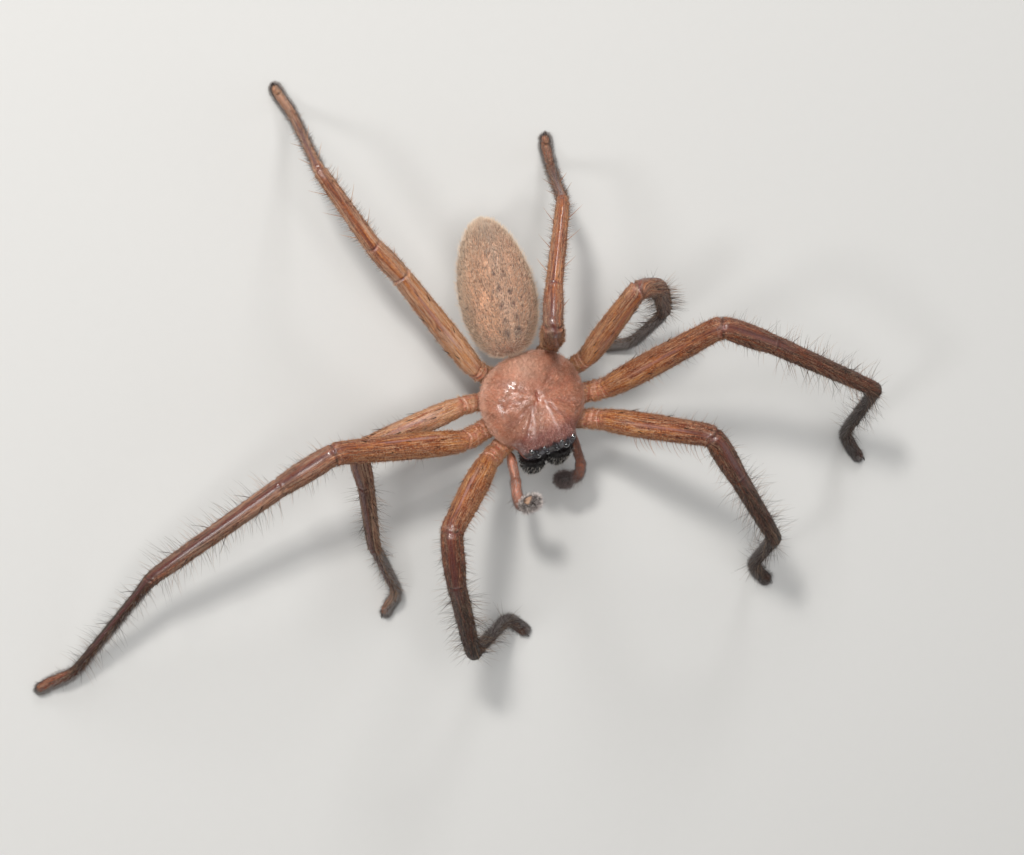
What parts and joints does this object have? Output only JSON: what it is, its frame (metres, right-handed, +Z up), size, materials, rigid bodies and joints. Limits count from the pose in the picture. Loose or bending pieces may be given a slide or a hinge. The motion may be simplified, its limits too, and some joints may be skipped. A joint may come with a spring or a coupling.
{
  "type": "huntsman spider",
  "caption": "Life-size still model of a huntsman spider with long sideways legs, standing on the tips of its feet in a hunting stance.",
  "frame": {"origin": "centre of the bounding box in plan, on the ground that the feet stand on", "axes": "the head points along -Y, +X is the spider's left, +Z is up"},
  "size_m": [0.0738, 0.0554, 0.0179],
  "materials": {
    "carapace_cuticle": "pinkish orange-brown, satin, with fine pale hair",
    "leg_cuticle": "orange-brown, satin, with pale flat hair and dark spines",
    "foot_cuticle": "dark red-brown with grey pads of hair",
    "abdomen_coat": "short dense fawn hair with small dark spots",
    "underside_cuticle": "pale orange-brown, matt",
    "chelicera_cuticle": "black, satin, with white-tipped bristles",
    "fang_cuticle": "black-red, polished",
    "eye_cornea": "black, polished",
    "palp_cuticle": "red-brown, satin",
    "palp_brush": "grey brush of fine hair"
  },
  "bodies": {
    "root": {"abdomen": "abdomen_coat", "carapace": "carapace_cuticle", "chelicera_l": "chelicera_cuticle", "chelicera_r": "chelicera_cuticle", "eye_ale_l": "eye_cornea", "eye_ale_r": "eye_cornea", "eye_ame_l": "eye_cornea", "eye_ame_r": "eye_cornea", "eye_ple_l": "eye_cornea", "eye_ple_r": "eye_cornea", "eye_pme_l": "eye_cornea", "eye_pme_r": "eye_cornea", "fang_l": "fang_cuticle", "fang_r": "fang_cuticle", "labium": "underside_cuticle", "leg_l1_coxa": "leg_cuticle", "leg_l1_femur": "leg_cuticle", "leg_l1_foot": "foot_cuticle", "leg_l1_tibia": "leg_cuticle", "leg_l2_coxa": "leg_cuticle", "leg_l2_femur": "leg_cuticle", "leg_l2_foot": "foot_cuticle", "leg_l2_tibia": "leg_cuticle", "leg_l3_coxa": "leg_cuticle", "leg_l3_femur": "leg_cuticle", "leg_l3_foot": "foot_cuticle", "leg_l3_tibia": "leg_cuticle", "leg_l4_coxa": "leg_cuticle", "leg_l4_femur": "leg_cuticle", "leg_l4_foot": "foot_cuticle", "leg_l4_tibia": "leg_cuticle", "leg_r1_coxa": "leg_cuticle", "leg_r1_femur": "leg_cuticle", "leg_r1_foot": "foot_cuticle", "leg_r1_tibia": "leg_cuticle", "leg_r2_coxa": "leg_cuticle", "leg_r2_femur": "leg_cuticle", "leg_r2_foot": "foot_cuticle", "leg_r2_tibia": "leg_cuticle", "leg_r3_coxa": "leg_cuticle", "leg_r3_femur": "leg_cuticle", "leg_r3_foot": "foot_cuticle", "leg_r3_tibia": "leg_cuticle", "leg_r4_coxa": "leg_cuticle", "leg_r4_femur": "leg_cuticle", "leg_r4_foot": "foot_cuticle", "leg_r4_tibia": "leg_cuticle", "maxilla_l": "underside_cuticle", "maxilla_r": "underside_cuticle", "palp_l": "palp_cuticle", "palp_l_tip": "palp_brush", "palp_r": "palp_cuticle", "palp_r_tip": "palp_brush", "pedicel": "underside_cuticle", "spinnerets": "underside_cuticle", "sternum": "underside_cuticle"}
  },
  "joints": []
}
